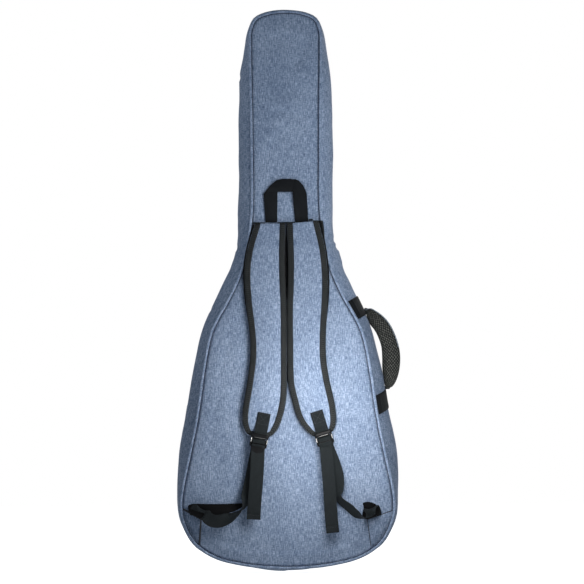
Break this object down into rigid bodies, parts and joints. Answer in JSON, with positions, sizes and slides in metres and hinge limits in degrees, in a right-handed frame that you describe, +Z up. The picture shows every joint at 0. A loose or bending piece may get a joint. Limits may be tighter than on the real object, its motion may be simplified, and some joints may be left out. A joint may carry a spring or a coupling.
{
  "type": "padded gig bag",
  "caption": "Padded guitar gig bag with zippered lid, back straps with ladder locks, hang loop, padded side handle, front pocket and foam-lined cavity.",
  "frame": {"origin": "the hook point: the underside of the hang loop's top bar, at the middle of the webbing's thickness; the bag hangs from it", "axes": "+Z up along the bag towards the head, -Y out of the back panel (strap side), +X towards the side with the carry handle"},
  "size_m": [0.4353, 0.1761, 1.0923],
  "materials": {
    "heather_fabric": "woven polyester, heathered blue-grey",
    "foam": "closed-cell foam sheet",
    "lining_cloth": "smooth lining cloth",
    "dark_webbing": "ribbed charcoal webbing",
    "zip_tape": "woven zipper tape",
    "spacer_mesh": "open spacer mesh",
    "nylon_teeth": "nylon coil",
    "polished_steel": "bright plated steel",
    "slider_metal": "satin plated metal"
  },
  "bodies": {
    "tub": {"back_cover": "heather_fabric", "back_foam": "foam", "back_lining": "lining_cloth", "back_piping": "heather_fabric", "tub_gusset_cover": "heather_fabric", "tub_gusset_foam_lower": "foam", "tub_gusset_foam_upper": "foam", "tub_gusset_lining": "lining_cloth", "tub_zip_tape": "zip_tape", "tub_zip_chain": "nylon_teeth", "hinge_gusset": "heather_fabric", "corner_patch_left": "heather_fabric", "corner_patch_right": "heather_fabric", "top_seam_webbing": "dark_webbing", "handle_anchor_upper": "dark_webbing", "handle_anchor_lower": "dark_webbing", "neck_cradle": "foam", "bottom_bumper": "foam", "lower_webbing_left": "dark_webbing", "lower_webbing_right": "dark_webbing"},
    "lid": {"front_cover": "heather_fabric", "front_foam": "foam", "front_lining": "lining_cloth", "front_piping": "heather_fabric", "lid_gusset_cover": "heather_fabric", "lid_gusset_foam_lower": "foam", "lid_gusset_foam_upper": "foam", "lid_gusset_lining": "lining_cloth", "lid_zip_tape": "zip_tape", "lid_zip_chain": "nylon_teeth", "pocket_panel": "heather_fabric", "pocket_header": "heather_fabric", "pocket_gusset": "heather_fabric", "pocket_zip_tape": "zip_tape", "pocket_zip_chain": "nylon_teeth"},
    "main_slider": {"main_slider": "slider_metal"},
    "main_pull": {"main_pull": "slider_metal"},
    "pocket_slider": {"pocket_slider": "slider_metal"},
    "pocket_pull": {"pocket_pull": "slider_metal"},
    "hang_loop": {"hang_loop": "dark_webbing"},
    "side_handle": {"handle_grip": "spacer_mesh", "handle_webbing": "dark_webbing"},
    "strap_left": {"strap_binding_left": "dark_webbing", "strap_mesh_left": "spacer_mesh", "strap_foam_left": "foam", "strap_cover_left": "heather_fabric", "strap_tab_left": "dark_webbing", "ladder_lock_left": "polished_steel"},
    "tail_left": {"tail_left": "dark_webbing"},
    "strap_right": {"strap_binding_right": "dark_webbing", "strap_mesh_right": "spacer_mesh", "strap_foam_right": "foam", "strap_cover_right": "heather_fabric", "strap_tab_right": "dark_webbing", "ladder_lock_right": "polished_steel"},
    "tail_right": {"tail_right": "dark_webbing"}
  },
  "joints": [
    {"name": "lid_hinge", "type": "hinge", "parent": "tub", "child": "lid", "pos_m": [-0.214, 0.0988, -0.518], "axis": [0, 0, 1], "range_deg": [0, 120], "deforming": ["hinge_gusset"]},
    {"name": "main_slider_travel", "type": "slide", "parent": "tub", "child": "main_slider", "axis": [0.1818, -0.0038, 0.9833], "range_m": [0, 0.055]},
    {"name": "main_pull_pivot", "type": "hinge", "parent": "main_slider", "child": "main_pull", "pos_m": [-0.19385, 0.10057, -0.41474], "axis": [0.3282, 0.9429, -0.057], "range_deg": [0, 140]},
    {"name": "pocket_slider_travel", "type": "slide", "parent": "lid", "child": "pocket_slider", "axis": [1, 0, 0], "range_m": [0, 0.245]},
    {"name": "pocket_pull_pivot", "type": "hinge", "parent": "pocket_slider", "child": "pocket_pull", "pos_m": [-0.12457, 0.1535, -0.34], "axis": [1, 0, 0], "range_deg": [0, 120]},
    {"name": "hang_loop_fold", "type": "hinge", "parent": "tub", "child": "hang_loop", "pos_m": [0, -0.001, -0.0579], "axis": [1, 0, 0], "range_deg": [0, 80]},
    {"name": "side_handle_swing", "type": "hinge", "parent": "tub", "child": "side_handle", "pos_m": [0.154, 0.0623, -0.229], "axis": [-0.2735, 0, 0.9619], "range_deg": [-30, 30]},
    {"name": "strap_left_lift", "type": "hinge", "parent": "tub", "child": "strap_left", "pos_m": [0, -0.0011, -0.0625], "axis": [-1, 0, 0], "range_deg": [0, 15], "deforming": ["lower_webbing_left"]},
    {"name": "tail_left_swing", "type": "hinge", "parent": "strap_left", "child": "tail_left", "pos_m": [-0.0564, -0.0194, -0.48943], "axis": [-0.9803, 0, 0.1977], "range_deg": [0, 75]},
    {"name": "strap_right_lift", "type": "hinge", "parent": "tub", "child": "strap_right", "pos_m": [0, -0.0011, -0.0625], "axis": [-1, 0, 0], "range_deg": [0, 15], "deforming": ["lower_webbing_right"]},
    {"name": "tail_right_swing", "type": "hinge", "parent": "strap_right", "child": "tail_right", "pos_m": [0.07381, -0.0194, -0.48525], "axis": [-0.9598, 0, -0.2807], "range_deg": [0, 75]}
  ]
}
